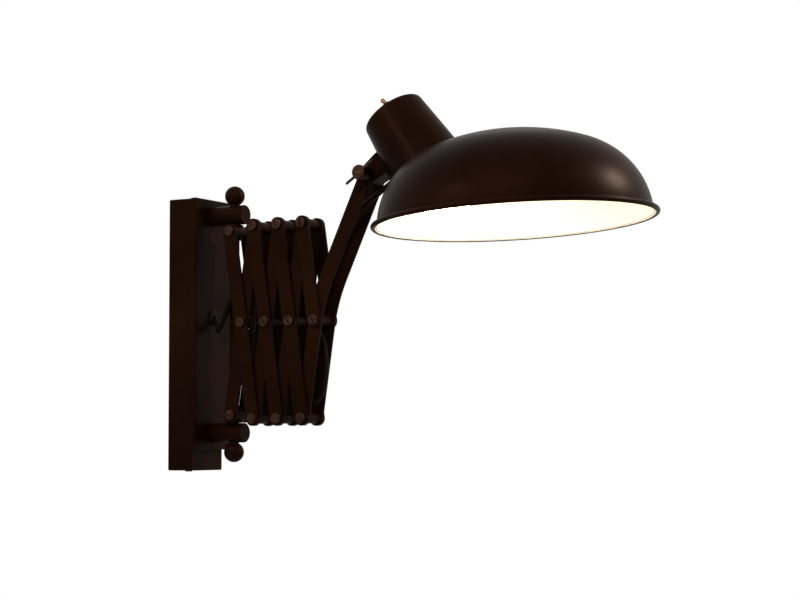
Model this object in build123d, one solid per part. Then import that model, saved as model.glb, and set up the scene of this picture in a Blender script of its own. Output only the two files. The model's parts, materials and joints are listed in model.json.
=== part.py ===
from build123d import *
import os
from math import asin, atan2, cos, degrees, hypot, radians, sin, sqrt, tan

# Accordion wall lamp. Millimetres, X out of the wall, Y along the wall, Z up.
# The origin is on the wall, behind the middle of the guide rod.

# Wall box, front plate and the bracket inside
box_width = 54.0
box_depth = 30.4
box_wall = 1.6
box_corner = 2.0
plate_width = 66.0
plate_height = 262.0
plate_thick = 6.6
plate_edge = 1.4
plate_corner = 3.0
box_drop = 21.5  # the box shows this far below the plate
bracket_width = 20.0
bracket_thick = 2.0
bracket_tab = 14.0
wall_hole_pitch = 150.0
wall_hole_d = 5.5
box_screw_d = 4.0
box_screw_head_d = 7.5
box_screw_head = 1.4
box_screw_past = 1.0
box_slot = 1.0
box_slot_deep = 0.6

# Posts, guide rod and ball finials
rod_x = 64.0
rod_d = 10.0
rod_tip_d = 6.0
rod_tip = 10.0
post_d = 20.2
post_inset = 17.5  # from the plate's top and bottom edges
post_past_rod = 13.6
post_bevel = 0.8
post_bolt_d = 6.0
post_bolt_in = 12.0
post_bolt_head_d = 10.0
post_bolt_head = 4.0
finial_d = 20.8
finial_rise = 10.0  # middle of the ball above the post
finial_neck_d = 10.5

# Scissor lattice, folded as it hangs in the photograph
pin_x = 68.5
row_rise = 3.8  # the other pivot rows stand this much further out than the collars'
half_step = 14.7
units = 3
bar_width = 15.5
bar_thick = 2.8
bar_edge = 0.5
channel = 23.0  # clear width between the inner bars
barrel_gap = 0.2
layer_gap = 0.3
bolt_d = 5.0
bolt_play = 0.05
bolt_head_d = 11.0
bolt_head = 2.4
bolt_slot = 1.2
bolt_slot_deep = 1.0
bolt_seat = 0.1  # from a head or nut to the bar
head_round = 0.35  # share of a head's height
nut_filled = 0.8  # share of a nut's height that its bolt fills
first_slot_turn = 20.0
slot_turn_step = 37.0
barrel_d = 11.0

# Collars on the guide rod
collar_d = 18.0
collar_height = 15.8
collar_edge = 0.6
collar_seat = 0.3
collar_play = 0.06
trunnion_d = 13.0
collar_screw_in = 5.5
collar_slot_turn = 35.0

# Arm from the last crossing up to the head
arm_bend_r = 180.0
arm_angle = 24.6
head_x = 230.5
head_z = 144.5

# Clamp at the head pivot
clamp_d = 6.0
clamp_head_d = 15.0
clamp_head = 16.0
clamp_edge = 1.5
clamp_seat = 0.2
tommy_d = 2.8
tommy_length = 38.0
tommy_angle = 35.0
tommy_out = 12.5  # from the head's seat
tommy_round = 0.3  # share of the bar's thickness
nut_d = 12.0
nut_thick = 5.0

# Neck cup, its lug and what it holds. The cup's own frame has Z up its axis and
# its origin in the middle of the top face.
cup_tilt = 35.0
cup_top_r = 32.0
cup_taper = 6.0
cup_wall = 1.2
cup_edge = 4.0
cup_length = 118.0
lug_reach = 53.8  # head pivot to the cup's axis
lug_drop = 37.1  # head pivot below the cup's top face
lug_width = 22.0
lug_root = 23.6
lug_round = 10.0
lug_screw_d = 4.0
lug_screw_head_d = 7.0
lug_screw_head = 2.2
lug_screw_seat = 0.4
lug_screw_pitch = 13.0
lug_screw_in = 9.0
neck_bush_drop = 56.5
neck_bush_d = 10.0
neck_bush_flange_d = 12.5
neck_bush_flange = 1.6
neck_bush_in = 2.0

# Shade
rim_x = 158.0  # rim centre out from the head pivot
rim_drop = 57.0
shade_tilt = 3.3
rim_r = 140.0
bead_r = 2.6
rim_lip = 5.9
mouth_z = 2.5
shade_height = 90.2
shoulder_r = 82.6
crown_r = 228.7
shade_wall = 1.0

# Switch in the top of the cup
switch_long = 28.0
switch_wide = 15.0
switch_deep = 19.0
bushing_d = 11.5
bushing_up = 11.5
dress_nut_d = 14.0
dress_nut = 2.6
dress_nut_drop = 1.0  # below the end of the bushing
dress_nut_round = 0.8
lock_nut_d = 16.0
lock_nut = 2.2
lever_d = 3.2
lever_tip_d = 4.8
lever_up = 8.5
lever_ball_d = 5.6
lever_lean = 13.0
lever_round = 0.4  # share of the tip's thickness
ball_play = 0.1
lever_play = 0.3
lever_slot_deep = 2.5
bushing_lip = 2.0

# Holder and bulb on the cup's axis
strap_width = 16.0
strap_thick = 1.5
strap_span = 38.0
strap_length = 29.0
holder_d = 40.0
holder_long = 36.0
holder_base = 6.0
holder_edge = 3.0
holder_bore = 27.2
nipple_d = 10.0
nipple_up = 4.5
cap_d = 26.4
cap_long = 25.0
contact_d = 11.0
contact = 1.6
contact_gap = 0.4
cap_end = 1.5
cap_ring = 1.2
cap_ring_rise = 0.2
cap_ring_first = 11.0
cap_ring_pitch = 3.5
cap_rings = 4
bulb_d = 56.0
bulb_tip = 130.5  # below the cup's top face
bulb_neck_d = 25.0
bulb_glass_wall = 1.2
bulb_in_cap = 8.5
bulb_below_cap = 2.0
bulb_round_to = 38.0  # the round part ends this far above its middle
bulb_side = -20.0

# Cord
cord_d = 5.5
cord_exit_z = 6.5
cord_straight = 7.5  # out of the plate before its first turn
grommet_d = 13.0
grommet_flange_d = 16.0
grommet_flange = 1.6
cord_tail = 12.0  # inside the wall box
cord_before_bush = 16.0
cord_past_wall = 9.0
block_long = 26.0
block_deep = 14.0
block_high = 16.0
block_drop = 16.0  # below the grommet
block_screw_d = 5.0
block_screw_deep = 3.0
block_screw_up = 11.0
block_wire_d = 4.0
block_wire_deep = 7.0

past = 1.0  # cuts run this far past the faces that they open

# Worked out from the sizes above
plate_front = box_depth + plate_thick
box_top = plate_height / 2
box_bottom = -plate_height / 2 - box_drop
post_r = post_d / 2
post_height = plate_height / 2 - post_inset
collar_half = collar_height / 2
row_height = post_height - post_r - collar_seat - collar_half
far_row = row_height + row_rise
first_step = half_step * row_height / far_row  # keeps the first bars' three pins in line
fold = asin(half_step / hypot(half_step, far_row))
inner_y = channel / 2
inner_out = inner_y + bar_thick
outer_y = inner_out + layer_gap
outer_out = outer_y + bar_thick
hole_d = bolt_d + 2 * bolt_play
bolt_at = outer_out + bolt_seat
clamp_at = inner_out + clamp_seat
lug_half = lug_width / 2
mouth_r = rim_r - rim_lip


def cyl_x(d, x0, x1, y=0.0, z=0.0):
    return Pos((x0 + x1) / 2, y, z) * Rot(0, 90, 0) * Cylinder(d / 2, abs(x1 - x0))


def cyl_y(d, y0, y1, x, z):
    return Pos(x, (y0 + y1) / 2, z) * Rot(90, 0, 0) * Cylinder(d / 2, abs(y1 - y0))


def cyl_z(d, z0, z1, x=0.0, y=0.0):
    return Pos(x, y, (z0 + z1) / 2) * Cylinder(d / 2, abs(z1 - z0))


def block(x0, x1, y0, y1, z0, z1):
    size = Box(x1 - x0, y1 - y0, z1 - z0)
    return Pos((x0 + x1) / 2, (y0 + y1) / 2, (z0 + z1) / 2) * size


def slab(sketch, y0, y1):
    """Sketch in X and Z, given thickness from y0 to y1."""
    return extrude(Plane.XZ.offset(-y1) * sketch, amount=y1 - y0)


def turned(outline):
    """Closed outline in X and Z, turned round the Z axis."""
    return revolve(Plane.XZ * make_face(outline), Axis.Z)


def save(name, *solids):
    shape = solids[0] if len(solids) == 1 else Compound(children=list(solids))
    shape.label = name
    export_step(shape, f"parts/{name}.step")


# Wall box

def wall_box():
    outside = block(0, box_depth, -box_width / 2, box_width / 2, box_bottom, box_top)
    outside = fillet(outside.edges().filter_by(Axis.X), box_corner)
    half = box_width / 2 - box_wall
    low = box_bottom + box_wall
    shell = outside - block(-past, box_depth - box_wall, -half, half, low, box_top - box_wall)
    for side in (1, -1):
        shell -= cyl_x(post_bolt_d, 0, box_depth, 0, side * post_height)
    shell -= cyl_x(grommet_d, 0, box_depth, 0, cord_exit_z)
    for z in box_screw_heights():
        shell -= cyl_z(box_screw_d, z - 2 * box_wall, z + 2 * box_wall, bracket_tab / 2)
    return shell


def box_screw_heights():
    return (box_top, box_bottom)


def wall_bracket():
    low = box_bottom + box_wall
    high = box_top - box_wall
    half = bracket_width / 2
    strap = block(0, bracket_thick, -half, half, low, high)
    for z0, z1 in ((low, low + bracket_thick), (high - bracket_thick, high)):
        strap += block(0, bracket_tab, -half, half, z0, z1)
    for side in (1, -1):
        strap -= cyl_x(wall_hole_d, -past, bracket_thick + past, 0, side * wall_hole_pitch / 2)
    deep = box_wall + bracket_thick + past
    for z in box_screw_heights():
        strap -= cyl_z(box_screw_d, z - deep, z + deep, bracket_tab / 2)
    return strap


def box_screws():
    screws = []
    x = bracket_tab / 2
    slot = Box(box_screw_head_d + past, box_slot, 2 * box_slot_deep)
    for z, way in zip(box_screw_heights(), (1, -1)):
        shank = cyl_z(box_screw_d, z, z - way * (box_wall + bracket_thick + box_screw_past), x)
        head = cyl_z(box_screw_head_d, z, z + way * box_screw_head, x)
        screws.append(shank + head - Pos(x, 0, z + way * box_screw_head) * slot)
    return screws


def front_plate():
    half = plate_width / 2
    plate = block(box_depth, plate_front, -half, half, -plate_height / 2, plate_height / 2)
    plate = fillet(plate.edges().filter_by(Axis.X), plate_corner)
    plate = fillet(plate.faces().sort_by(Axis.X)[-1].edges(), plate_edge)
    for side in (1, -1):
        plate -= cyl_x(post_bolt_d, 0, plate_front + past, 0, side * post_height)
    return plate - cyl_x(grommet_d, 0, plate_front + past, 0, cord_exit_z)


def cord_grommet():
    sleeve = cyl_x(grommet_d, box_depth - box_wall, plate_front, 0, cord_exit_z)
    flange = cyl_x(grommet_flange_d, plate_front, plate_front + grommet_flange, 0, cord_exit_z)
    flange = fillet(flange.faces().sort_by(Axis.X)[-1].edges(), grommet_flange / 2)
    return sleeve + flange - cyl_x(cord_d, 0, plate_front + grommet_flange + past, 0, cord_exit_z)


def terminal_block():
    high = cord_exit_z + grommet_d / 2 - block_drop
    low = high - block_high
    half = block_long / 2
    front = bracket_thick + block_deep
    body = block(bracket_thick, front, -half, half, low, high)
    for y in (-half / 2, half / 2):
        body -= cyl_x(block_screw_d, front - block_screw_deep, front + past, y, low + block_screw_up)
        body -= cyl_z(block_wire_d, low - past, low + block_wire_deep, bracket_thick + block_deep / 2, y)
    return body


# Posts, rod and finials

def post(side):
    z = side * post_height
    end = rod_x + post_past_rod
    body = cyl_x(post_d, plate_front, end, 0, z)
    body = chamfer(body.faces().sort_by(Axis.X)[-1].edges(), post_bevel)
    body -= cyl_z(rod_d, z - post_d, z + post_d, rod_x)
    return body - cyl_x(post_bolt_d, plate_front - past, plate_front + post_bolt_in, 0, z)


def post_bolts():
    bolts = []
    inside = box_depth - box_wall
    for z in (post_height, -post_height):
        head = cyl_x(post_bolt_head_d, inside - post_bolt_head, inside, 0, z)
        bolts.append(head + cyl_x(post_bolt_d, inside, plate_front + post_bolt_in, 0, z))
    return bolts


def guide_rod():
    shoulder = post_height + post_r
    rod = cyl_z(rod_d, -shoulder, shoulder, rod_x)
    return rod + cyl_z(rod_tip_d, -shoulder - rod_tip, shoulder + rod_tip, rod_x)


def finial(side):
    top_of_post = post_height + post_r
    ball_z = top_of_post + finial_rise
    shape = Pos(rod_x, 0, side * ball_z) * Sphere(finial_d / 2)
    shape += cyl_z(finial_neck_d, side * top_of_post, side * ball_z, rod_x)
    return shape - cyl_z(rod_tip_d, side * (top_of_post - past), side * (top_of_post + rod_tip), rod_x)


# Pivots

def crossing(i):
    return (pin_x + first_step + (2 * i - 2) * half_step, 0.0)


def top(i):
    if i == 0:
        return (pin_x, row_height)
    return (pin_x + first_step + (2 * i - 1) * half_step, far_row)


def bottom(i):
    x, z = top(i)
    return (x, -z)


def headed_bolt(point, slot_turn):
    """Slotted bolt along Y with a nut on the far side, as two solids."""
    x, z = point
    end = bolt_at + bolt_head
    filled = bolt_at + bolt_head * nut_filled
    body = cyl_y(bolt_head_d, -end, -bolt_at, x, z)
    body = fillet(body.faces().sort_by(Axis.Y)[0].edges(), bolt_head * head_round)
    cut = Rot(0, slot_turn, 0) * Box(bolt_head_d + past, 2 * bolt_slot_deep, bolt_slot)
    body -= Pos(x, -end, z) * cut
    body += cyl_y(bolt_d, -bolt_at, filled, x, z)
    ring = cyl_y(bolt_head_d, bolt_at, end, x, z)
    ring = fillet(ring.faces().sort_by(Axis.Y)[-1].edges(), bolt_head * head_round)
    return [body, ring - cyl_y(bolt_d, bolt_at - past, filled, x, z)]


def bolts(points):
    solids = []
    for k, point in enumerate(points):
        solids += headed_bolt(point, first_slot_turn + slot_turn_step * k)
    return solids


def barrels(points):
    half = inner_y - barrel_gap
    return [cyl_y(barrel_d, -half, half, x, z) - cyl_y(hole_d, -half, half, x, z) for x, z in points]


# Bars

def bar_face(a, b):
    """Flat bar with round ends, from pivot a to pivot b."""
    run = Vector(b[0] - a[0], b[1] - a[1])
    turn = degrees(atan2(run.Y, run.X))
    middle = Pos((a[0] + b[0]) / 2, (a[1] + b[1]) / 2)
    return middle * Rot(0, 0, turn) * SlotCenterToCenter(run.length, bar_width)


def flat_bar(face, holes, near_y, side):
    y0, y1 = sorted((side * near_y, side * (near_y + bar_thick)))
    solid = slab(face, y0, y1)
    rims = solid.faces().filter_by(Axis.Y).edges()
    solid = fillet(rims, bar_edge)
    for (x, z), d in holes:
        solid -= cyl_y(d, y0 - past, y1 + past, x, z)
    return solid


def arm_face():
    """Straight to the last crossing, an easy bend, then straight to the head."""
    start = Vector(*bottom(units))
    low = Vector(sin(fold), cos(fold))
    high = Vector(sin(radians(arm_angle)), cos(radians(arm_angle)))
    end = Vector(head_x, head_z)
    gap = end - start
    # corner where the two straight lines meet
    along = (gap.X * high.Y - gap.Y * high.X) / (low.X * high.Y - low.Y * high.X)
    corner = start + low * along
    middle = FilletPolyline(start, corner, end, radius=arm_bend_r)
    return make_face(offset(middle, amount=bar_width / 2, side=Side.BOTH, kind=Kind.ARC).edges())


# Collars

def collar(side, boss_y):
    z = side * row_height
    ring = cyl_z(collar_d, z - collar_half, z + collar_half, rod_x)
    ring = chamfer(ring.edges().filter_by(GeomType.CIRCLE), collar_edge)
    ring += cyl_y(trunnion_d, -boss_y, boss_y, pin_x, z)
    ring -= cyl_z(rod_d + 2 * collar_play, z - collar_height, z + collar_height, rod_x)
    for way in (1, -1):
        ring -= cyl_y(bolt_d, way * collar_screw_in, way * (boss_y + past), pin_x, z)
    return ring


def collar_screws(side, head_y):
    z = side * row_height
    screws = []
    for way in (1, -1):
        head = cyl_y(bolt_head_d, way * head_y, way * (head_y + bolt_head), pin_x, z)
        end = head.faces().sort_by(Axis.Y)[-1 if way > 0 else 0]
        head = fillet(end.edges(), bolt_head * head_round)
        slot = Rot(0, collar_slot_turn, 0) * Box(bolt_head_d + past, 2 * bolt_slot_deep, bolt_slot)
        head -= Pos(pin_x, way * (head_y + bolt_head), z) * slot
        screws.append(head + cyl_y(bolt_d, way * collar_screw_in, way * head_y, pin_x, z))
    return screws


# Head

def cup_place():
    """The cup's own frame, from the head pivot."""
    lean = radians(cup_tilt)
    x = head_x + lug_reach * cos(lean) - lug_drop * sin(lean)
    z = head_z + lug_reach * sin(lean) + lug_drop * cos(lean)
    return Pos(x, 0, z) * Rot(0, -cup_tilt, 0)


def shade_place():
    return Pos(head_x + rim_x, 0, head_z - rim_drop) * Rot(0, -shade_tilt, 0)


def cup_radius(depth):
    return cup_top_r + depth * tan(radians(cup_taper))


def cup_solid(inset):
    """Solid cone of the cup, inset from its outer faces."""
    depth = cup_length
    r0 = cup_radius(inset) - inset
    r1 = cup_radius(depth) - inset
    height = depth - inset
    cone = Pos(0, 0, -inset - height / 2) * Cone(r1, r0, height)
    cone = fillet(cone.faces().sort_by(Axis.Z)[-1].edges(), max(cup_edge - inset, cup_edge / 8))
    return Rot(0, 0, 90) * cone  # its seam kept out of the lamp's middle plane


def dome_points(wall):
    """Ends and middles of the shade's two arcs, inset by the wall."""
    high = shade_height - wall
    crown = crown_r - wall
    shoulder = shoulder_r - wall
    edge = mouth_r - wall
    centre_z = high - crown
    # the shoulder's circle touches the crown's from inside and passes the mouth
    rise = mouth_z - centre_z
    far = hypot(edge, rise)
    gap = crown - shoulder
    along = (gap**2 - shoulder**2 + far**2) / (2 * far)
    off = sqrt(gap**2 - along**2)
    cx = (edge * along - rise * off) / far
    cz = centre_z + (rise * along + edge * off) / far
    joint = Vector(cx, cz - centre_z).normalized() * crown + Vector(0, centre_z)
    half = Vector(joint.X / 2, centre_z + sqrt(crown**2 - (joint.X / 2) ** 2))
    to_mouth = Vector(edge - cx, mouth_z - cz).normalized()
    to_joint = Vector(joint.X - cx, joint.Y - cz).normalized()
    bulge = Vector(cx, cz) + (to_mouth + to_joint).normalized() * shoulder
    return Vector(0, high), half, joint, bulge, Vector(edge, mouth_z)


def dome_solid():
    apex, half, joint, bulge, mouth = dome_points(0)
    outline = [
        ThreePointArc(apex, half, joint),
        ThreePointArc(joint, bulge, mouth),
        Polyline(mouth, (mouth.X, 0), (0, 0), apex),
    ]
    return turned(outline)


def shade():
    apex, half, joint, bulge, mouth = dome_points(0)
    inner = dome_points(shade_wall)
    outline = [
        ThreePointArc(apex, half, joint),
        ThreePointArc(joint, bulge, mouth),
        Line(mouth, inner[4]),
        ThreePointArc(inner[4], inner[3], inner[2]),
        ThreePointArc(inner[2], inner[1], inner[0]),
        Line(inner[0], apex),
    ]
    shell = turned(outline)
    bead_x = rim_r - bead_r
    flange = cyl_z(2 * bead_x, mouth_z, mouth_z + shade_wall)
    flange -= cyl_z(2 * inner[4].X, mouth_z - past, mouth_z + shade_wall + past)
    bead = Pos(0, 0, mouth_z + shade_wall / 2) * Torus(bead_x, bead_r)
    shell = shade_place() * (shell + flange + bead)
    return shell - cup_place() * cup_solid(cup_wall)


def neck_cup():
    shell = cup_solid(0) - cup_solid(cup_wall)
    shell -= cyl_z(bushing_d, -cup_wall - past, past)
    for z in lug_screw_drops():
        shell -= cyl_x(lug_screw_d, -lug_reach, 0, 0, -z)
    shell = cup_place() * shell - neck_hole(neck_bush_d)
    return shell - shade_place() * dome_solid()


def neck_hole(d):
    return cup_place() * cyl_x(d, -lug_reach, -cup_top_r / 2, 0, -neck_bush_drop)


def neck_bush():
    outer = -cup_radius(neck_bush_drop)
    inner = outer + cup_wall + neck_bush_in
    flange = cyl_x(neck_bush_flange_d, outer - neck_bush_flange, inner, 0, -neck_bush_drop)
    sleeve = cyl_x(neck_bush_d, outer, inner, 0, -neck_bush_drop)
    bush = flange - cup_solid(0) + sleeve
    return cup_place() * bush - neck_hole(cord_d)


def lug_screw_drops():
    return (lug_drop - lug_screw_pitch / 2, lug_drop + lug_screw_pitch / 2)


def head_lug():
    half = lug_root / 2
    root_at = cup_radius(lug_drop) + past
    circle = Pos(-lug_reach, -lug_drop) * Circle(lug_round)
    web = make_face(
        Polyline(
            (-lug_reach, -lug_drop + lug_round),
            (-root_at, -lug_drop + half),
            (-cup_top_r / 2, -lug_drop + half),
            (-cup_top_r / 2, -lug_drop - half),
            (-root_at, -lug_drop - half),
            (-lug_reach, -lug_drop - lug_round),
            close=True,
        )
    )
    lug = slab(circle + web, -lug_half, lug_half)
    lug -= cup_solid(0)
    lug -= cyl_y(clamp_d + 2 * bolt_play, -lug_half - past, lug_half + past, -lug_reach, -lug_drop)
    for z in lug_screw_drops():
        lug -= cyl_x(lug_screw_d, -cup_radius(z) - lug_screw_in, 0, 0, -z)
    return cup_place() * lug


def lug_screws():
    screws = []
    for z in lug_screw_drops():
        seat = -cup_radius(z - lug_screw_head_d / 2) + cup_wall + lug_screw_seat
        shank = cyl_x(lug_screw_d, -cup_radius(z) - lug_screw_in, seat, 0, -z)
        head = cyl_x(lug_screw_head_d, seat, seat + lug_screw_head, 0, -z)
        screws.append(cup_place() * (shank + head))
    return screws


def clamp_screw():
    head = cyl_y(clamp_head_d, -clamp_at - clamp_head, -clamp_at, head_x, head_z)
    head = fillet(head.faces().sort_by(Axis.Y)[0].edges(), clamp_edge)
    screw = head + cyl_y(clamp_d, -clamp_at, clamp_at + nut_thick, head_x, head_z)
    return screw - tommy_rod()


def tommy_rod():
    place = Pos(head_x, -clamp_at - tommy_out, head_z) * Rot(0, -tommy_angle, 0)
    return place * Rot(0, 90, 0) * Cylinder(tommy_d / 2, tommy_length)


def tommy_bar():
    return fillet(tommy_rod().edges().filter_by(GeomType.CIRCLE), tommy_d * tommy_round)


def clamp_nut():
    end = clamp_at + nut_thick
    nut = slab(Pos(head_x, head_z) * RegularPolygon(nut_d / 2, 6), clamp_at, end)
    return nut - cyl_y(clamp_d, clamp_at - past, end + past, head_x, head_z)


# Switch, holder and bulb

def switch_body():
    under = -cup_wall - strap_thick
    half_x = switch_wide / 2
    half_y = switch_long / 2
    body = block(-half_x, half_x, -half_y, half_y, under - switch_deep, under)
    body += cyl_z(bushing_d, under, bushing_up)
    body -= Pos(0, 0, bushing_up) * Sphere(lever_ball_d / 2 + ball_play)
    slot = Box(bushing_d - 2 * bushing_lip, lever_d + 2 * lever_play, 2 * lever_slot_deep)
    body -= Pos(0, 0, bushing_up) * slot
    lock = slab_z(RegularPolygon(lock_nut_d / 2, 6), 0, lock_nut)
    lock -= cyl_z(bushing_d, -past, lock_nut + past)
    dress_top = bushing_up - dress_nut_drop
    dress = cyl_z(dress_nut_d, dress_top - dress_nut, dress_top)
    dress = fillet(dress.faces().sort_by(Axis.Z)[-1].edges(), dress_nut_round)
    dress -= cyl_z(bushing_d, 0, bushing_up)
    return [cup_place() * piece for piece in (body, lock, dress)]


def slab_z(sketch, z0, z1):
    return extrude(Pos(0, 0, z0) * sketch, amount=z1 - z0)


def switch_lever():
    stick = Pos(0, 0, lever_up / 2) * Cone(lever_d / 2, lever_tip_d / 2, lever_up)
    stick = fillet(stick.faces().sort_by(Axis.Z)[-1].edges(), lever_tip_d * lever_round)
    lever = Sphere(lever_ball_d / 2) + stick
    return cup_place() * (Pos(0, 0, bushing_up) * Rot(0, -lever_lean, 0) * lever)


def holder_bracket():
    top_z = -cup_wall
    low_z = top_z - strap_length
    inside = (strap_width + 2 * past, strap_span - 2 * strap_thick, strap_length - 2 * strap_thick)
    loop = Box(strap_width, strap_span, strap_length) - Box(*inside)
    loop = Pos(0, 0, (low_z + top_z) / 2) * loop
    loop -= cyl_z(bushing_d, top_z - strap_thick - past, top_z + past)
    loop -= cyl_z(nipple_d, low_z - past, low_z + strap_thick + past)
    return cup_place() * loop


def holder_top():
    return -cup_wall - strap_length


def lamp_holder():
    high = holder_top()
    body = cyl_z(holder_d, high - holder_long, high)
    body = fillet(body.faces().sort_by(Axis.Z)[-1].edges(), holder_edge)
    body -= cyl_z(holder_bore, high - holder_long - past, high - holder_base)
    body += cyl_z(nipple_d, high - past, high + nipple_up)
    return cup_place() * body


def bulb_cap():
    high = holder_top() - holder_base - contact_gap
    foot = cap_foot()
    shell = cyl_z(cap_d, foot, high - contact)
    shell -= cyl_z(bulb_neck_d, foot - past, high - contact - cap_end)
    for k in range(cap_rings):
        z = foot + cap_ring_first + k * cap_ring_pitch
        shell += cyl_z(cap_d + 2 * cap_ring_rise, z, z + cap_ring)
    return cup_place() * (shell + cyl_z(contact_d, high - contact, high))


def cap_foot():
    return holder_top() - holder_base - contact_gap - contact - cap_long


def bulb_glass():
    low = cap_foot() - bulb_below_cap
    high = cap_foot() + bulb_in_cap
    neck = bulb_neck_d / 2
    neck_inside = neck - bulb_glass_wall
    tip, side, top = round_part(bulb_d / 2)
    tip_inside, side_inside, top_inside = round_part(bulb_d / 2 - bulb_glass_wall)
    neck_line = [(neck, low), (neck, high), (neck_inside, high), (neck_inside, low)]
    outline = [
        ThreePointArc(tip, side, top),
        Polyline(top, *neck_line, top_inside),
        ThreePointArc(top_inside, side_inside, tip_inside),
        Line(tip_inside, tip),
    ]
    return cup_place() * turned(outline)


def round_part(r):
    """Tip, side and top of the bulb's round part."""
    centre = -bulb_tip + bulb_d / 2
    angles = (-90.0, bulb_side, bulb_round_to)
    return [(r * cos(radians(a)), centre + r * sin(radians(a))) for a in angles]


# Cord

def cup_point(x, z):
    """Point in the cup's own frame, given in X and Z of the lamp."""
    place = cup_place() * Pos(x, 0, z)
    return (place.position.X, place.position.Y, place.position.Z)


wall_in = cup_radius(neck_bush_drop)
neck_outer = cup_point(-wall_in - cord_before_bush, -neck_bush_drop)
neck_inner = cup_point(-wall_in + cord_past_wall, -neck_bush_drop)

# out of the plate, a tight turn down and up past the guide rod, over the first
# crossing, then in long loops through the folded lattice and up the arm
cord_route = [
    (box_depth - box_wall - cord_tail, 0, cord_exit_z),
    (plate_front + cord_straight, 0, cord_exit_z),
    (49.5, -3.2, -8.5),
    (57.0, -6.5, -2.0),
    (63.5, -8.2, 15.0),
    (69.5, -8.2, 31.0),
    (82.0, -7.6, 38.5),
    (91.0, -7.4, 24.0),
    (92.5, -7.4, 3.0),
    (89.5, -7.0, -20.0),
    (86.5, -6.6, -44.0),
    (87.0, -6.0, -64.0),
    (94.0, -3.0, -80.0),
    (104.5, 2.0, -78.0),
    (110.0, 6.0, -62.0),
    (109.0, 7.0, -40.0),
    (103.5, 7.4, -16.0),
    (102.6, 7.4, 8.0),
    (105.5, 7.0, 32.0),
    (107.0, 6.5, 54.0),
    (112.0, 5.0, 73.0),
    (123.0, 1.0, 77.0),
    (130.5, -4.0, 62.0),
    (132.0, -7.0, 38.0),
    (131.8, -7.4, 12.0),
    (133.5, -7.2, -14.0),
    (138.0, -6.8, -40.0),
    (142.0, -6.0, -64.0),
    (151.0, -4.0, -83.0),
    (165.0, -1.0, -84.5),
    (173.5, 1.0, -68.0),
    (174.5, 2.0, -44.0),
    (171.0, 3.0, -20.0),
    (161.0, 4.0, -3.0),
    (162.4, 4.5, 15.0),
    (170.5, 4.5, 38.0),
    (181.0, 4.0, 62.0),
    (193.0, 3.0, 86.0),
    (208.0, 1.5, 106.0),
    (226.0, 0.3, 119.0),
    neck_outer,
    neck_inner,
]
cord_cuts = {  # each stretch runs from the middle of one run to the middle of another
    "cord_feed": (0, 4),
    "cord_entry": (4, 10),
    "cord_loop_1": (10, 17),
    "cord_loop_2": (17, 25),
    "cord_loop_3": (25, 36),
    "cord_head": (36, 41),
}


def bend_radii(points):
    """Radius at each corner, from its two runs and its turn."""
    radii = []
    for a, b, c in zip(points, points[1:], points[2:]):
        before = Vector(*b) - Vector(*a)
        after = Vector(*c) - Vector(*b)
        turn = radians(before.get_angle(after))
        radii.append(0.45 * min(before.length, after.length) / tan(turn / 2))
    return radii


def cord_part(first, last):
    """Points from the middle of one run to the middle of a later one."""
    points = cord_route[first:last + 1]
    if first > 0:
        points[0] = run_middle(cord_route[first], cord_route[first + 1])
    if last < len(cord_route) - 1:
        points.append(run_middle(cord_route[last], cord_route[last + 1]))
    return points


def run_middle(a, b):
    return tuple((Vector(*a) + Vector(*b)) / 2)


def cord_tube(points):
    radii = bend_radii(points)
    path = FilletPolyline(*points, radius=radii)
    start = Plane(origin=path @ 0, z_dir=path % 0)
    tube = sweep(start * Circle(cord_d / 2), path)
    share = tube.volume / (path.length * Circle(cord_d / 2).area)
    print("cord", round(path.length, 1), "least bend", round(min(radii), 1), "volume share", round(share, 4))
    return tube


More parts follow.
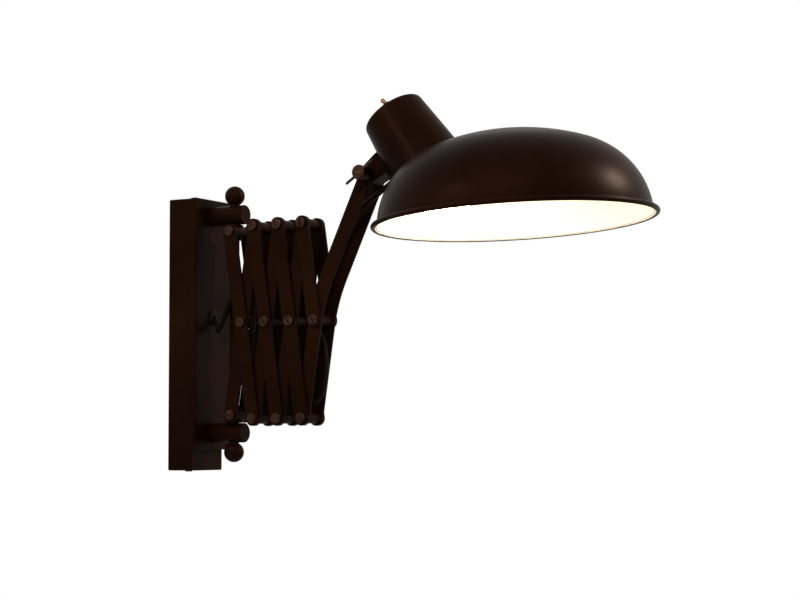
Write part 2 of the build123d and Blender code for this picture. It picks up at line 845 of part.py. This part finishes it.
def main():
    os.makedirs("parts", exist_ok=True)
    save("wall_box", wall_box())
    save("wall_bracket", wall_bracket())
    save("box_screws", *box_screws())
    save("front_plate", front_plate())
    save("cord_grommet", cord_grommet())
    save("terminal_block", terminal_block())
    save("upper_post", post(1))
    save("lower_post", post(-1))
    save("post_bolts", *post_bolts())
    save("guide_rod", guide_rod())
    save("upper_finial", finial(1))
    save("lower_finial", finial(-1))
    save("lower_collar", collar(-1, inner_y - barrel_gap))
    save("lower_collar_screws", *collar_screws(-1, inner_out + bolt_seat))
    save("upper_collar", collar(1, outer_y - barrel_gap))
    save("upper_collar_screws", *collar_screws(1, bolt_at))

    ends = {"front": -1, "rear": 1}
    for i in range(1, units + 1):
        inner_pins = [bottom(i - 1), crossing(i), top(i)]
        outer_pins = [top(i - 1), crossing(i), bottom(i)]
        for where, side in ends.items():
            for layer, pins, near in (("inner", inner_pins, inner_y), ("outer", outer_pins, outer_y)):
                face = bar_face(pins[0], pins[-1])
                holes = [(pin, hole_d) for pin in pins]
                save(f"{layer}_bar_{i}_{where}", flat_bar(face, holes, near, side))
    last = [top(units), crossing(units + 1)]
    clamp_hole = ((head_x, head_z), clamp_d + 2 * bolt_play)
    arm_holes = [(bottom(units), hole_d), (crossing(units + 1), hole_d), clamp_hole]
    for where, side in ends.items():
        save(f"end_bar_{where}", flat_bar(bar_face(*last), [(p, hole_d) for p in last], outer_y, side))
        save(f"arm_{where}", flat_bar(arm_face(), arm_holes, inner_y, side))

    for i in range(1, units + 1):
        pins = [crossing(i), top(i)] if i == 1 else [bottom(i - 1), crossing(i), top(i)]
        save(f"pivot_bolts_{i}", *bolts(pins))
        save(f"barrels_{i}", *barrels(pins))
    pins = [bottom(units), crossing(units + 1)]
    save("arm_bolts", *bolts(pins))
    save("arm_barrels", *barrels(pins))

    save("clamp_screw", clamp_screw())
    save("tommy_bar", tommy_bar())
    save("clamp_nut", clamp_nut())
    save("head_lug", head_lug())
    save("lug_screws", *lug_screws())
    save("neck_cup", neck_cup())
    save("neck_bush", neck_bush())
    save("shade", shade())
    save("switch_body", *switch_body())
    save("switch_lever", switch_lever())
    save("holder_bracket", holder_bracket())
    save("lamp_holder", lamp_holder())
    save("bulb_cap", bulb_cap())
    save("bulb_glass", bulb_glass())
    for name, (first, last) in cord_cuts.items():
        save(name, cord_tube(cord_part(first, last)))


main()
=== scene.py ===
import json
from math import atan2, cos, hypot, pi, radians, sin, sqrt, tan

import bpy
import numpy as np
from mathutils import Matrix, Vector


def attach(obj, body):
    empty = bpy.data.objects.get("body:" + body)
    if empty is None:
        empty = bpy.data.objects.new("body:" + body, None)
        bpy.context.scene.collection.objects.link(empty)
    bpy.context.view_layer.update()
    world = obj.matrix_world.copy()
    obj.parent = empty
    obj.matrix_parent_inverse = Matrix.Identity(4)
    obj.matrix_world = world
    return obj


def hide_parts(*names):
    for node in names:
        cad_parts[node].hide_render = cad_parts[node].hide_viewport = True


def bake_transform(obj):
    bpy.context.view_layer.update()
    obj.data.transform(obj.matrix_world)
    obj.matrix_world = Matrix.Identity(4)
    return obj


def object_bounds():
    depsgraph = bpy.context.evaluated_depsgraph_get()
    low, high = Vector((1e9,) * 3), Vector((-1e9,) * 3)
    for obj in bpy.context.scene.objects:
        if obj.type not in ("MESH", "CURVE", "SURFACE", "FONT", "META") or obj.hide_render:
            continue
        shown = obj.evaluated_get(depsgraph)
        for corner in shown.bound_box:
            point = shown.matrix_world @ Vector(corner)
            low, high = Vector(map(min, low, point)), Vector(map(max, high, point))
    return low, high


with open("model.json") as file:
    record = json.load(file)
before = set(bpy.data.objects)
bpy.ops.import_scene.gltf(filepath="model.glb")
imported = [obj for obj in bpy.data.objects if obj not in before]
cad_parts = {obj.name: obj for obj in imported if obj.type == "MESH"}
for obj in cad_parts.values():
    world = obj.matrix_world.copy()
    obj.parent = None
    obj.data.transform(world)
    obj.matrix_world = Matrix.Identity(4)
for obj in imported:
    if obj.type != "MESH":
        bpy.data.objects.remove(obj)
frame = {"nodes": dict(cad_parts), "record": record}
nodes = frame["nodes"]
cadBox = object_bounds()
print("frame loaded,", len(nodes), "nodes")

mm = 0.001

cameraFit = {
    "place": (1.21412, -1.72401, -0.12154),
    "yaw": 28.93,
    "pitch": 4.04,
    "roll": -0.13,
    "lens": 89.29,
    "sensor": 36.0,
    "near": 0.05,
    "far": 50.0,
}


def makeCamera():
    # forward from yaw and pitch, right level with the floor, up across both, then rolled
    yaw, pitch, roll = (radians(cameraFit[k]) for k in ("yaw", "pitch", "roll"))
    forward = Vector((-sin(yaw) * cos(pitch), cos(yaw) * cos(pitch), sin(pitch)))
    level = Vector((cos(yaw), sin(yaw), 0))
    upright = level.cross(forward)
    right = level * cos(roll) + upright * sin(roll)
    up = upright * cos(roll) - level * sin(roll)
    data = bpy.data.cameras.new("camera")
    data.lens = cameraFit["lens"]
    data.sensor_width = cameraFit["sensor"]
    data.clip_start = cameraFit["near"]
    data.clip_end = cameraFit["far"]
    camera = bpy.data.objects.new("camera", data)
    turn = Matrix((right, up, -forward)).transposed().to_4x4()
    camera.matrix_world = Matrix.Translation(cameraFit["place"]) @ turn
    bpy.context.scene.collection.objects.link(camera)
    bpy.context.scene.camera = camera


makeCamera()
print("camera placed")


cloudSpan = (0.3, 0.7)  # the noise values between which a finish drifts from one colour to the other


class Val:
    # a shader value: sums, products and so on between values add the Math nodes they need
    def __init__(self, tree, socket):
        self.tree = tree
        self.socket = socket

    def maths(self, operation, *values):
        return self.tree.node("ShaderNodeMath", {"operation": operation}, dict(enumerate(values)))

    def __add__(self, other):
        return self.maths("ADD", self, other)

    def __sub__(self, other):
        return self.maths("SUBTRACT", self, other)

    def __rsub__(self, other):
        return self.maths("SUBTRACT", other, self)

    def __mul__(self, other):
        return self.maths("MULTIPLY", self, other)

    def __truediv__(self, other):
        return self.maths("DIVIDE", self, other)

    __radd__ = __add__
    __rmul__ = __mul__

    def clamped(self):
        # never under 0 or over 1
        return self.maths("MINIMUM", self.maths("MAXIMUM", self, 0.0), 1.0)

    def between(self, low, high):
        # 0 below low, 1 above high, straight in between
        return ((self - low) / (high - low)).clamped()


class Tree:
    # the node tree of one material, or of the world
    def __init__(self, owner):
        self.owner = owner
        owner.use_nodes = True
        self.nodes = owner.node_tree.nodes
        self.links = owner.node_tree.links
        self.nodes.clear()

    def node(self, kind, settings=None, inputs=None, output=0):
        # one node with its settings, then the values or links of its sockets
        made = self.nodes.new(kind)
        for key, value in (settings or {}).items():
            setattr(made, key, value)
        for key, value in (inputs or {}).items():
            if isinstance(value, Val):
                self.links.new(value.socket, made.inputs[key])
            else:
                made.inputs[key].default_value = value
        return Val(self, made.outputs[output]) if made.outputs else None

    def noise(self, scale, detail=3.0, rough=0.5):
        # cloudy noise fixed to the piece
        where = self.node("ShaderNodeTexCoord", output="Object")
        sockets = {"Vector": where, "Scale": scale, "Detail": detail, "Roughness": rough}
        return self.node("ShaderNodeTexNoise", inputs=sockets)

    def blendColour(self, share, first, second):
        # the first colour where share is 0, the second where it is 1
        return self.node("ShaderNodeMix", {"data_type": "RGBA"}, {0: share, 6: first, 7: second}, output=2)

    def cloudColour(self, clouds, pair):
        # drifts from one colour to the other along broad noise
        return self.blendColour(clouds.between(*cloudSpan), *pair)

    def bump(self, height, strength, depth):
        # small relief, its depth in metres
        return self.node("ShaderNodeBump", inputs={"Height": height, "Strength": strength, "Distance": depth})

    def surface(self, **sockets):
        # the main shader on the material's output
        names = {
            "colour": "Base Color", "roughness": "Roughness", "metallic": "Metallic", "normal": "Normal",
            "coat": "Coat Weight", "specular": "Specular IOR Level", "tint": "Specular Tint",
            "glow": "Emission Color", "glowStrength": "Emission Strength",
        }
        shader = self.node("ShaderNodeBsdfPrincipled", inputs={names[k]: v for k, v in sockets.items()})
        self.node("ShaderNodeOutputMaterial", inputs={"Surface": shader})
        return self.owner


def finishTree(name):
    # an empty tree in a new material
    return Tree(bpy.data.materials.new(name))


def rgba(*colour):
    # a solid colour
    return (*colour, 1.0)


def varied(base, *parts):
    # a value that drifts about its base: each part is a noise and how far it moves the value
    for noise, amount in parts:
        base = base + (noise - 0.5) * amount
    return base


# in each finish a noise is its scale, detail and roughness, and a bump its strength and depth
bronzeCoat = {
    "colours": (rgba(0.0046, 0.0014, 0.0005), rgba(0.0104, 0.0036, 0.0014)),
    "worn": rgba(0.030, 0.013, 0.006),
    "tint": rgba(1.0, 0.50, 0.30),
    "roughness": 0.36,
    "specular": 0.022,
    "clouds": (9.0, 4.0, 0.6),
    "cloudGloss": 0.12,
    "speck": (420.0, 2.0),
    "speckSpan": (0.66, 0.74),
    "speckShare": 0.15,
    "speckGloss": 0.08,
    "peel": (900.0, 2.0),
    "bump": (0.10, 0.0004),
}


def bronzePaint():
    # satin paint: broad clouds in the colour and gloss, a fine orange peel in the bump
    p = bronzeCoat
    t = finishTree("bronzePaint")
    clouds = t.noise(*p["clouds"])
    speck = t.noise(*p["speck"])
    peel = t.noise(*p["peel"])
    colour = t.cloudColour(clouds, p["colours"])
    colour = t.blendColour(speck.between(*p["speckSpan"]) * p["speckShare"], colour, p["worn"])
    roughness = varied(p["roughness"], (clouds, p["cloudGloss"]), (speck, p["speckGloss"]))
    return t.surface(colour=colour, roughness=roughness, specular=p["specular"], tint=p["tint"],
                     normal=t.bump(peel, *p["bump"]))


boltSteel = {
    "dark": rgba(0.018, 0.0075, 0.004),
    "bare": rgba(0.12, 0.065, 0.040),
    "metallic": 0.85,
    "roughness": 0.34,
    "specular": 0.2,
    "clouds": (60.0, 4.0, 0.6),
    "cloudSpan": (0.4, 0.7),
    "cloudGloss": 0.1,
    "scuffs": (700.0, 3.0, 0.6),
    "scuffSpan": (0.5, 0.7),
    "scuffGloss": 0.15,
    "bump": (0.15, 0.0003),
}


def bronzeBolt():
    # blackened steel with the bare metal showing through in small scuffs
    p = boltSteel
    t = finishTree("bronzeBolt")
    clouds = t.noise(*p["clouds"])
    scuffs = t.noise(*p["scuffs"])
    share = scuffs.between(*p["scuffSpan"]) * clouds.between(*p["cloudSpan"])
    roughness = varied(p["roughness"] + share * p["scuffGloss"], (clouds, p["cloudGloss"]))
    return t.surface(colour=t.blendColour(share, p["dark"], p["bare"]), metallic=p["metallic"],
                     roughness=roughness, specular=p["specular"], normal=t.bump(scuffs, *p["bump"]))


metals = {
    "zinc": {"colours": (rgba(0.42, 0.42, 0.43), rgba(0.56, 0.56, 0.57)), "roughness": 0.32},
    "agedBrass": {"colours": (rgba(0.14, 0.070, 0.035), rgba(0.24, 0.125, 0.060)), "roughness": 0.30},
    "capMetal": {"colours": (rgba(0.60, 0.60, 0.61), rgba(0.72, 0.72, 0.73)), "roughness": 0.26},
}
metalGrain = {
    "clouds": (37.5, 3.0, 0.5),
    "grain": (300.0, 3.0, 0.6),
    "gloss": 0.14,
    "bump": (0.08, 0.0003),
}


def plainMetal(name):
    # bare or plated metal: clouds in the colour, fine grain in the gloss and bump
    t = finishTree(name)
    clouds = t.noise(*metalGrain["clouds"])
    grain = t.noise(*metalGrain["grain"])
    return t.surface(colour=t.cloudColour(clouds, metals[name]["colours"]), metallic=1.0,
                     roughness=varied(metals[name]["roughness"], (grain, metalGrain["gloss"])),
                     normal=t.bump(grain, *metalGrain["bump"]))


enamelCoat = {
    "colours": (rgba(0.80, 0.77, 0.69), rgba(0.85, 0.82, 0.75)),
    "roughness": 0.32,
    "clouds": (14.0, 3.0, 0.5),
    "gloss": 0.08,
    "peel": (500.0, 2.0),
    "bump": (0.08, 0.0003),
}


def whiteEnamel():
    # warm white stove enamel, slightly wavy
    p = enamelCoat
    t = finishTree("whiteEnamel")
    clouds = t.noise(*p["clouds"])
    peel = t.noise(*p["peel"])
    return t.surface(colour=t.cloudColour(clouds, p["colours"]), normal=t.bump(peel, *p["bump"]),
                     roughness=varied(p["roughness"], (clouds, p["gloss"])))


holderChina = {
    "colours": (rgba(0.78, 0.76, 0.70), rgba(0.84, 0.82, 0.77)),
    "roughness": 0.16,
    "glaze": 0.5,
    "clouds": (40.0, 3.0, 0.5),
    "gloss": 0.08,
}


def porcelain():
    # glazed white china, faintly clouded
    p = holderChina
    t = finishTree("porcelain")
    clouds = t.noise(*p["clouds"])
    return t.surface(colour=t.cloudColour(clouds, p["colours"]), coat=p["glaze"],
                     roughness=varied(p["roughness"], (clouds, p["gloss"])))


litBulb = {
    "glass": rgba(0.95, 0.88, 0.72),
    "glow": (rgba(1.0, 0.76, 0.46), rgba(1.0, 0.82, 0.55)),
    "clouds": (30.0, 2.0),
    "cloudSpan": (0.2, 0.8),
    "roughness": 0.18,
    "strength": 34.0,
}


def litGlass():
    # the bulb's glass, glowing warm all over
    p = litBulb
    t = finishTree("litGlass")
    clouds = t.noise(*p["clouds"])
    glow = t.blendColour(clouds.between(*p["cloudSpan"]), *p["glow"])
    return t.surface(colour=p["glass"], roughness=p["roughness"], glow=glow, glowStrength=p["strength"])


cordSleeve = {
    "colours": (rgba(0.0030, 0.0016, 0.0011), rgba(0.0060, 0.0034, 0.0024)),
    "tint": rgba(1.0, 0.8, 0.7),
    "roughness": 0.5,
    "specular": 0.035,
    "clouds": (60.0, 3.0, 0.5),
    "grain": (1600.0, 2.0, 0.6),
    "gloss": 0.2,
    "bump": (0.2, 0.0003),
}


def blackCord():
    # soft black sleeve with a very fine grain
    p = cordSleeve
    t = finishTree("blackCord")
    clouds = t.noise(*p["clouds"])
    grain = t.noise(*p["grain"])
    return t.surface(colour=t.cloudColour(clouds, p["colours"]), specular=p["specular"], tint=p["tint"],
                     roughness=varied(p["roughness"], (grain, p["gloss"])), normal=t.bump(grain, *p["bump"]))


blackPlastic = {
    "colours": (rgba(0.0034, 0.0019, 0.0013), rgba(0.0060, 0.0036, 0.0026)),
    "specular": 0.04,
    "clouds": (50.0, 3.0, 0.5),
    "gloss": 0.1,
    "grain": (1100.0, 2.0),
    "bump": (0.15, 0.0003),
}


def mouldedBlack(name, roughness):
    # moulded plastic or rubber with a fine even grain
    p = blackPlastic
    t = finishTree(name)
    clouds = t.noise(*p["clouds"])
    grain = t.noise(*p["grain"])
    return t.surface(colour=t.cloudColour(clouds, p["colours"]), specular=p["specular"],
                     roughness=varied(roughness, (clouds, p["gloss"])), normal=t.bump(grain, *p["bump"]))


finishes = {
    "bronze_paint": bronzePaint(),
    "bronze_bolt": bronzeBolt(),
    "white_enamel": whiteEnamel(),
    "zinc": plainMetal("zinc"),
    "brass": plainMetal("agedBrass"),
    "cap_metal": plainMetal("capMetal"),
    "porcelain": porcelain(),
    "bulb": litGlass(),
    "cord": blackCord(),
    "bush": mouldedBlack("blackBush", 0.55),
    "switch_case": mouldedBlack("switchCase", 0.42),
}
slotOf = {part["node"]: part["material_slot"] for part in frame["record"]["subparts"]}
for name, node in nodes.items():
    node.data.materials.clear()
    node.data.materials.append(finishes[slotOf[name]])
print("finishes made:", len(finishes))


def meshPiece(name, points, faceSets, materials, faceMaterial=None):
    # points and sets of faces as one smooth mesh
    mesh = bpy.data.meshes.new(name)
    faces = [face for faceSet in faceSets for face in faceSet.tolist()]
    mesh.from_pydata(points.reshape(-1, 3).tolist(), [], faces)
    mesh.polygons.foreach_set("use_smooth", np.ones(len(mesh.polygons), bool))
    for material in materials:
        mesh.materials.append(material)
    if faceMaterial is not None:
        mesh.polygons.foreach_set("material_index", faceMaterial.astype(np.int32))
    mesh.update(calc_edges=True)
    piece = bpy.data.objects.new(name, mesh)
    bpy.context.scene.collection.objects.link(piece)
    return piece


def gridFaces(rows, columns, closed=True):
    # quads between neighbouring rows and columns of a grid of points
    r = np.arange(rows - 1)[:, None]
    c = np.arange(columns if closed else columns - 1)[None, :]
    c2 = (c + 1) % columns
    quads = [r * columns + c, (r + 1) * columns + c, (r + 1) * columns + c2, r * columns + c2]
    return np.stack(np.broadcast_arrays(*quads), -1).reshape(-1, 4)


cordShape = {
    "diameter": 0.0055,
    "sides": 20,
    "steps": 24,  # to each bend of the line
    "lookAhead": 4,  # bends in which the next route point is looked for
}
# the route of the part's source in millimetres, its first turn eased towards the plate
cordRoute = [
    (16.8, 0, 6.5), (42.5, 0, 6.5), (45.5, -2.6, -10.0), (52.5, -6.0, -2), (60.5, -8.1, 14), (69.0, -8.2, 31),
    (82, -7.6, 38.5), (91, -7.4, 24), (92.5, -7.4, 3), (89.5, -7, -20), (86.5, -6.6, -44), (87, -6, -64),
    (94, -3, -80), (104.5, 2, -78), (110, 6, -62), (109, 7, -40), (103.5, 7.4, -16), (102.6, 7.4, 8),
    (105.5, 7, 32), (107, 6.5, 54), (112, 5, 73), (123, 1, 77), (130.5, -4, 62), (132, -7, 38),
    (131.8, -7.4, 12), (133.5, -7.2, -14), (138, -6.8, -40), (142, -6, -64), (151, -4, -83), (165, -1, -84.5),
    (173.5, 1, -68), (174.5, 2, -44), (171, 3, -20), (161, 4, -3), (162.4, 4.5, 15), (170.5, 4.5, 38),
    (181, 4, 62), (193, 3, 86), (208, 1.5, 106), (226, 0.3, 119), (241.515, 0, 128.529), (261.993, 0, 142.868),
]
# each stretch: its node, the bodies before and after, where on the route it ends (counted in route points),
# and where its bend between the two bodies starts and ends, in millimetres
cordStretches = {
    "cordFeed": ("cord_feed", "root", "carriage", 4.3, (50, -3, -8.5), (63, -8.2, 12)),
    "cordEntry": ("cord_entry", "carriage", "inner_1", 6.9, (60, -8, 13), (84, -7.6, 37)),
    "cordCrossing": ("cord_entry", "inner_1", "outer_1", 9.6, (92, -7.4, 20), (91, -7.3, -16)),
    "cordLoopLow": ("cord_loop_1", "outer_1", "inner_2", 16.0, (92, 0, -80), (103, 0, -80)),
    "cordLoopTop": ("cord_loop_2", "inner_2", "outer_3", 23.5, (115, 0, 76), (127, 0, 76)),
    "cordLoopFar": ("cord_loop_3", "outer_3", "arm", 35.0, (150, 0, -84), (166, 0, -84)),
    "cordHead": ("cord_head", "arm", "head", 41.0, (212, 0, 107), (237, 0, 125)),
}


def routeCurve(points):
    # one smooth line through space with the route's points as its control points
    curve = bpy.data.curves.new("cordLine", "CURVE")
    curve.dimensions = "3D"
    curve.resolution_u = cordShape["steps"]
    spline = curve.splines.new("NURBS")
    spline.points.add(len(points) - 1)
    spline.points.foreach_set("co", np.c_[np.array(points) * mm, np.ones(len(points))].ravel())
    spline.order_u = 3
    spline.use_endpoint_u = True
    holder = bpy.data.objects.new("cordLine", curve)
    bpy.context.scene.collection.objects.link(holder)
    bpy.context.view_layer.update()
    line = bpy.data.meshes.new_from_object(holder.evaluated_get(bpy.context.evaluated_depsgraph_get()))
    where = np.empty(len(line.vertices) * 3)
    line.vertices.foreach_get("co", where)
    bpy.data.objects.remove(holder)
    bpy.data.meshes.remove(line)
    return where.reshape(-1, 3)


def unit(vectors):
    # each vector divided by its length
    return vectors / np.linalg.norm(vectors, axis=-1, keepdims=True)


def tubeRings(line, radius, count):
    # rings of points square to the line: centre + radius * (side cos a + other sin a)
    along = unit(np.gradient(line, axis=0))
    side = unit(np.cross(along, (0.0, 1.0, 0.0)))  # the line never runs along Y
    other = np.cross(along, side)
    angle = np.linspace(0, 2 * pi, count, endpoint=False)[None, :, None]
    return line[:, None] + radius * (side[:, None] * np.cos(angle) + other[:, None] * np.sin(angle))


def endFans(rows, count):
    # triangles from each end ring to the two middle points that follow the rings' points
    c = np.arange(count)
    c2 = (c + 1) % count
    top = (rows - 1) * count
    middle = rows * count
    first = np.stack([np.full(count, middle), c, c2], -1)
    last = np.stack([np.full(count, middle + 1), top + c2, top + c], -1)
    return np.vstack([first, last])


def routeMarks(line):
    # where each route point lies on the line: the nearest place to it, found in order
    marks = [0]
    for point in np.array(cordRoute[1:-1]) * mm:
        ahead = line[marks[-1]:marks[-1] + cordShape["lookAhead"] * cordShape["steps"]]
        marks.append(marks[-1] + int(np.argmin(np.linalg.norm(ahead - point, axis=1))))
    return marks + [len(line) - 1]


def makeCord():
    # one tube along the whole route, cut into the stretches of the table, each hiding the part's node that it
    # stands for
    line = routeCurve(cordRoute)
    marks = routeMarks(line)
    diameter, sides = cordShape["diameter"], cordShape["sides"]
    rings = tubeRings(line, diameter / 2, sides)
    cut = 0
    for name, (node, before, after, until, bendStart, bendEnd) in cordStretches.items():
        stop = int(round(np.interp(until, np.arange(len(marks)), marks)))
        part = rings[cut:stop + 1]
        path = line[cut:stop + 1]
        points = np.vstack([part.reshape(-1, 3), path[:1], path[-1:]])
        faces = [gridFaces(len(part), sides), endFans(len(part), sides)]
        piece = meshPiece(name, points, faces, [finishes["cord"]])
        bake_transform(piece)
        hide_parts(node)
        cut = stop


makeCord()

shadeShape = {  # lengths in millimetres, angles in degrees
    "middle": (388.5, 0, 87.5),
    "tilt": 3.3,
    "rim": 140.0,
    "bead": 2.6,
    "beadTurn": (150, -160),
    "beadSteps": 40,
    "beadInside": 4,  # the last steps of the bead, which carry no paint
    "mouth": 134.1,
    "mouthHeight": 2.5,
    "height": 90.2,
    "shoulder": 82.6,
    "crown": 228.7,
    "wall": 1.0,
    "around": 320,
    "steps": 60,  # along each of its two arcs
    "sharpFrom": 38.0,
}
cupShape = {  # the inside of the neck cup, which cuts the dome open
    "middle": (253.291, 0, 205.748),
    "tilt": 35.0,
    "top": 32.0,
    "taper": 6.0,
    "wall": 1.2,
    "length": 118.0,
    "above": 20.0,  # how far the cut runs on past the cup's top
    "around": 128,
}
weldReach = 1e-6


def domeProfile(inset):
    # radius and height from the top of the dome to its mouth: the crown's circle about the axis,
    # then the shoulder's circle, which touches it from inside and ends at the mouth
    s = shadeShape
    high, crown, shoulder, edge = (s[k] - inset for k in ("height", "crown", "shoulder", "mouth"))
    base = high - crown
    rise = s["mouthHeight"] - base
    far = hypot(edge, rise)
    gap = crown - shoulder
    along = (gap ** 2 - shoulder ** 2 + far ** 2) / (2 * far)
    off = sqrt(gap ** 2 - along ** 2)
    cx = (edge * along - rise * off) / far
    cz = base + (rise * along + edge * off) / far
    touch = atan2(cx, cz - base)
    last = atan2(edge - cx, s["mouthHeight"] - cz)
    a = np.linspace(0, touch, s["steps"])
    b = np.linspace(touch, last, s["steps"])[1:]
    crownPart = np.c_[crown * np.sin(a), base + crown * np.cos(a)]
    shoulderPart = np.c_[cx + shoulder * np.sin(b), cz + shoulder * np.cos(b)]
    return np.vstack([crownPart, shoulderPart])


def shadeProfile():
    # outside from top to mouth, round the rolled bead, and back up the inside
    s = shadeShape
    turn = np.radians(np.linspace(*s["beadTurn"], s["beadSteps"]))
    beadMiddle = np.array([s["rim"] - s["bead"], s["mouthHeight"] + s["wall"] / 2])
    bead = beadMiddle + s["bead"] * np.c_[np.cos(turn), np.sin(turn)]
    outer = domeProfile(0)
    outer = outer[outer[:, 1] > bead[0, 1]]
    painted = len(outer) + len(bead) - s["beadInside"]  # the paint goes round the bead to just inside it
    return np.vstack([outer, bead, domeProfile(s["wall"])[::-1]]), painted


def turnedRings(profile, around, shape):
    # the profile turned round its axis, leaned back about Y and moved to its place
    angle = np.linspace(0, 2 * pi, around, endpoint=False)
    r, height = profile[:, :1], profile[:, 1:]
    lean = radians(shape["tilt"])
    out = r * np.cos(angle)
    x = out * cos(lean) - height * sin(lean)
    z = out * sin(lean) + height * cos(lean)
    return (np.stack([x, r * np.sin(angle), z], -1) + shape["middle"]) * mm


def cupCutter():
    # a cone between its two radii, closed at both ends
    c = cupShape
    slope = tan(radians(c["taper"]))
    high = c["top"] - c["wall"] - c["above"] * slope
    low = c["top"] - c["wall"] + c["length"] * slope
    profile = np.array([(0, c["above"]), (high, c["above"]), (low, -c["length"]), (0, -c["length"])])
    rings = turnedRings(profile, c["around"], c)
    return meshPiece("cupCutter", rings, [gridFaces(len(profile), c["around"])], [finishes["white_enamel"]])


def weld(piece):
    # joins the points that lie together where a profile meets its axis
    piece.modifiers.new("weld", "WELD").merge_threshold = weldReach


def makeShade():
    # the turned shell, painted outside and enamelled inside, opened where the neck cup joins it
    s = shadeShape
    profile, painted = shadeProfile()
    rings = turnedRings(profile, s["around"], s)
    inside = np.repeat(np.arange(len(profile) - 1) >= painted, s["around"])
    dome = meshPiece("shadeShell", rings, [gridFaces(len(profile), s["around"])],
                     [finishes["bronze_paint"], finishes["white_enamel"]], inside)
    cutter = cupCutter()
    weld(dome)
    weld(cutter)
    cut = dome.modifiers.new("cut", "BOOLEAN")
    cut.operation = "DIFFERENCE"
    cut.solver = "EXACT"
    cut.object = cutter
    bpy.context.view_layer.update()
    dome.data = bpy.data.meshes.new_from_object(dome.evaluated_get(bpy.context.evaluated_depsgraph_get()))
    dome.modifiers.clear()
    bpy.data.objects.remove(cutter)
    dome.data.set_sharp_from_angle(angle=radians(s["sharpFrom"]))
    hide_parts("shade")
    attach(dome, "head")
    print("shade turned,", len(dome.data.polygons), "faces")


makeShade()

lightPlan = {
    "world": 0.55,
    "floorDrop": 1.25,
    "floorSize": 6.0,
    "floorColours": (rgba(0.86, 0.86, 0.86), rgba(0.9, 0.9, 0.9)),
    "floorClouds": 2.0,
    "floorPale": 0.7,  # share of plain white that the camera sees in the floor
    "white": rgba(1, 1, 1),
}
softboxes = {  # place, aim, size, power and colour of each
    "keyLight": ((0.9, -1.5, 1.3), (0.25, 0, 0.05), 1.1, 16.0, (1.0, 0.96, 0.92)),
    "fillLight": ((-0.9, -1.4, 0.5), (0.2, 0, 0.0), 0.9, 2.5, (1.0, 0.96, 0.92)),
    "cupGleam": ((-0.21, -1.26, 0.87), (0.28, -0.03, 0.17), 0.30, 9.0, (1.0, 0.84, 0.70)),
    "shadeGleam": ((1.36, 0.72, 0.84), (0.50, -0.03, 0.12), 0.30, 26.0, (1.0, 0.80, 0.64)),
}


def makeWorld():
    # camera, mirror and glass rays see plain white; the lamp itself is lit a little less
    world = bpy.data.worlds.new("studio")
    bpy.context.scene.world = world
    t = Tree(world)
    kinds = ("Camera", "Glossy", "Transmission")
    camera, glossy, clear = (t.node("ShaderNodeLightPath", output=f"Is {kind} Ray") for kind in kinds)
    seen = (camera + glossy + clear).clamped()
    white = lightPlan["white"]
    light = t.node("ShaderNodeBackground", inputs={"Color": white, "Strength": lightPlan["world"]})
    plain = t.node("ShaderNodeBackground", inputs={"Color": white, "Strength": 1.0})
    both = t.node("ShaderNodeMixShader", inputs={0: seen, 1: light, 2: plain})
    t.node("ShaderNodeOutputWorld", inputs={"Surface": both})


def softbox(name, place, aim, size, power, colour):
    # a square area light turned to its aim, unseen by the camera
    data = bpy.data.lights.new(name, "AREA")
    data.size = size
    data.energy = power
    data.color = colour
    lamp = bpy.data.objects.new(name, data)
    lamp.location = place
    lamp.rotation_euler = (Vector(aim) - Vector(place)).to_track_quat("-Z", "Y").to_euler()
    lamp.visible_camera = False
    bpy.context.scene.collection.objects.link(lamp)


def makeFloor():
    # wide, flat and pale, far below the lamp
    size = lightPlan["floorSize"]
    drop = cadBox[0].z - lightPlan["floorDrop"]
    points = np.array([(-size, -size, drop), (-size, size, drop), (size, -size, drop), (size, size, drop)])
    t = finishTree("paleFloor")
    colour = t.blendColour(t.noise(lightPlan["floorClouds"]), *lightPlan["floorColours"])
    matt = t.node("ShaderNodeBsdfDiffuse", inputs={"Color": colour})
    white = t.node("ShaderNodeEmission", inputs={"Color": lightPlan["white"], "Strength": 1.0})
    seen = t.node("ShaderNodeLightPath", output="Is Camera Ray") * lightPlan["floorPale"]
    both = t.node("ShaderNodeMixShader", inputs={0: seen, 1: matt, 2: white})
    t.node("ShaderNodeOutputMaterial", inputs={"Surface": both})
    meshPiece("floor", points, [gridFaces(2, 2, closed=False)[:, ::-1]], [t.owner])


makeWorld()
for name, plan in softboxes.items():
    softbox(name, *plan)
makeFloor()
print("light and floor set")

bpy.context.scene.view_settings.view_transform = "Standard"
